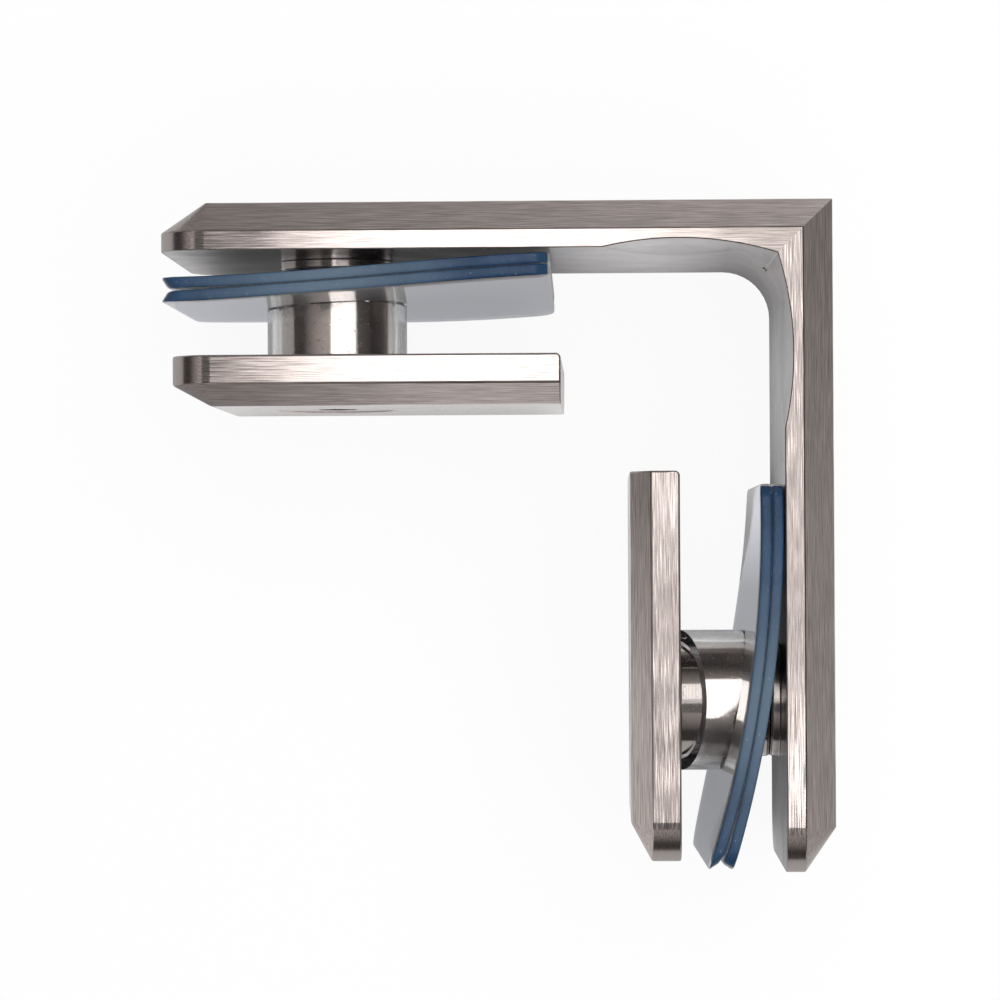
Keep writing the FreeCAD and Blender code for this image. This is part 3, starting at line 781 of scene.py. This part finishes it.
def table_finish():
    table = Finish("white table")
    path = [table.add("ShaderNodeLightPath", output=kind)
            for kind in ("Is Camera Ray", "Is Glossy Ray", "Is Transmission Ray")]
    seen = table.add("ShaderNodeMath", {"operation": "MAXIMUM"}, {
        0: path[0], 1: table.add("ShaderNodeMath", {"operation": "MAXIMUM"},
                                 {0: path[1], 1: path[2]})})
    nook = table.add("ShaderNodeAmbientOcclusion", {"samples": 6}, {"Distance": 0.016},
                     output="AO")
    x, y, _ = table.along_axes()
    lit = table.spread(x, -0.058, -0.040, 0.42, 1.0) * table.spread(y, -0.058, -0.040, 0.42, 1.0)
    open_sky = table.spread(nook, 0.22, 0.72, 0.06, 0.80) * lit
    share = seen * (path[0] * 0.93 + (1 - path[0]) * open_sky)
    matt = table.add("ShaderNodeBsdfDiffuse", {}, {
        "Color": table.mix(path[1], (0.9, 0.9, 0.9, 1), (0.22, 0.22, 0.22, 1))})
    white = table.add("ShaderNodeEmission", {}, {"Color": (1, 1, 1, 1), "Strength": 1.0})
    return table.show(table.add("ShaderNodeMixShader", {}, {0: share, 1: matt, 2: white}))


floor.data.materials.append(table_finish())

# %% [markdown]
# The soft lamp hangs over the open side of the clamp, so the side faces mirror it at the right of
# the picture and fall off to the left, as in the photograph. A lamp's own face can't be shaded,
# so polished surfaces see a glowing card in its place, with brighter and dimmer parts. The
# sloping bevels see the walls of the room, which are upright cards of the same kind. Two small
# cards lie on the floor in the glass slots, where the gaskets' sheets mirror them.

# %% Soft lamp
LAMP_Z, LAMP_LEVEL = 0.72, 2.6
lamp_data = bpy.data.lights.new("soft lamp", "AREA")
lamp_data.shape = "RECTANGLE"
lamp_data.size, lamp_data.size_y = 0.7, 1.1
lamp_data.energy = LAMP_LEVEL * math.pi * lamp_data.size * lamp_data.size_y
lamp = bpy.data.objects.new("soft lamp", lamp_data)
lamp.location = (0.22, 0.05, LAMP_Z)
lamp.visible_glossy = False
bpy.context.scene.collection.objects.link(lamp)


# %% Sky of the studio
def studio_sky():
    sky = Finish("studio sky", bpy.data.worlds)
    path = [sky.add("ShaderNodeLightPath", output=kind)
            for kind in ("Is Camera Ray", "Is Glossy Ray")]
    direction = sky.add("ShaderNodeTexCoord", output="Generated")
    up = sky.add("ShaderNodeSeparateXYZ", {}, {0: direction}, output="Z")
    right = sky.add("ShaderNodeSeparateXYZ", {}, {0: direction}, output="X")
    level = sky.spread(up, 0.42, 0.94, 0.0, 1.0) * sky.spread(right, -0.25, 0.45, 1.0, 0.12)
    mirrored = sky.mix(level, (0.05, 0.046, 0.045, 1), (0.56, 0.52, 0.50, 1))
    soft = sky.mix(path[1], (0.36, 0.355, 0.35, 1), mirrored)
    shown = sky.mix(path[0], soft, (1, 1, 1, 1))
    return sky.show(sky.add("ShaderNodeBackground", {}, {"Color": shown, "Strength": 1.0}),
                    "ShaderNodeOutputWorld")


bpy.context.scene.world = studio_sky()


# %% Cards that polished surfaces see
WARM_WHITE, COOL_WHITE = (1.0, 0.96, 0.95, 1), (0.94, 0.96, 1.02, 1)


def card(name, corners, level, tint=WARM_WHITE):
    """A card that only glossy rays see. Its glow comes from a function of its coordinates."""
    bm = bmesh.new()
    bm.faces.new([bm.verts.new(Vector(corner) * MM) for corner in corners])
    item = object_from(bm, name)
    item.visible_camera = False
    item.visible_diffuse = False
    item.visible_transmission = False
    item.visible_shadow = False
    glow = Finish(name)
    strength = level(glow, *glow.along_axes())
    item.data.materials.append(glow.show(glow.add(
        "ShaderNodeEmission", {}, {"Color": tint, "Strength": strength})))


def flat_card(x0, x1, y0, y1, z):
    return (x0, y0, z), (x1, y0, z), (x1, y1, z), (x0, y1, z)


# Every spread below reads: a place on the card in metres, from where to where, and the level at
# both. The sum gives a plain level that rises to the right, a brighter left part, a lower part
# that is dim in the middle and bright at the right, and one stripe along the lower border.
def lamp_glow(glow, x, y, z):
    left = glow.spread(x + (0.089 - y) * 0.18, -0.087, -0.062, 0.06, 1.0)
    lower = glow.spread(y, -0.084, -0.076, 0.10, 1.0)
    plain = glow.spread(x, 0.030, 0.060, 0.74, 0.92)
    bright = glow.spread(x, 0.020, 0.050, 1.0, 0.0) * glow.spread(y, 0.000, 0.035, 0.0, 1.0)
    far_left = glow.spread(x, -0.02, 0.0, 1.0, 0.0) * glow.spread(y, -0.09, -0.05, 0.0, 1.0)
    low = glow.spread(y, -0.060, -0.042, 1.0, 0.0) * glow.spread(x, 0.060, 0.070, -0.55, 2.3)
    stripe = glow.spread(y, -0.071, -0.067, 1.2, 0.0)
    return left * lower * (plain + (1 - (1 - bright) * (1 - far_left)) * 1.7 + low + stripe)


card("glowing lamp face", flat_card(-420, 335, -340, 450, 720), lamp_glow)
card("wall behind arm a", ((-260, 88, 0), (300, 88, 0), (300, 88, 70), (-260, 88, 70)),
     lambda glow, x, y, z: glow.spread(x, -0.05, 0.045, 0.25, 0.52))
card("wall behind arm b", ((88, -260, 0), (88, 300, 0), (88, 300, 70), (88, -260, 70)),
     lambda glow, x, y, z: glow.spread(y, 0.05, -0.045, 0.24, 0.42))
card("wall across the corner", ((-46, 16, 0), (16, -46, 0), (16, -46, 60), (-46, 16, 60)),
     lambda glow, x, y, z: glow.spread(x, -0.036, -0.006, 0.27, 0.60))
card("bright floor in slot a", flat_card(-46, 10, 22, 31, 0.4), lambda glow, x, y, z: 0.6,
     COOL_WHITE)
card("bright floor in slot b", flat_card(22, 32.4, -46, 10, 0.4),
     lambda glow, x, y, z: glow.spread(y, -0.034, -0.012, 0.42, 0.50)
     + glow.spread(y, -0.007, 0.003, 0.0, 0.34), COOL_WHITE)

# %% [markdown]
# ## Colour as written
#
# The Standard view shows a colour as it is written in the material. The last lines remove the
# default cube, light and camera, if the scene still holds them.

# %% Finish
bpy.context.scene.view_settings.view_transform = "Standard"
for unused in [item for item in bpy.data.objects if item.name in ("Cube", "Light", "Camera")]:
    bpy.data.objects.remove(unused)
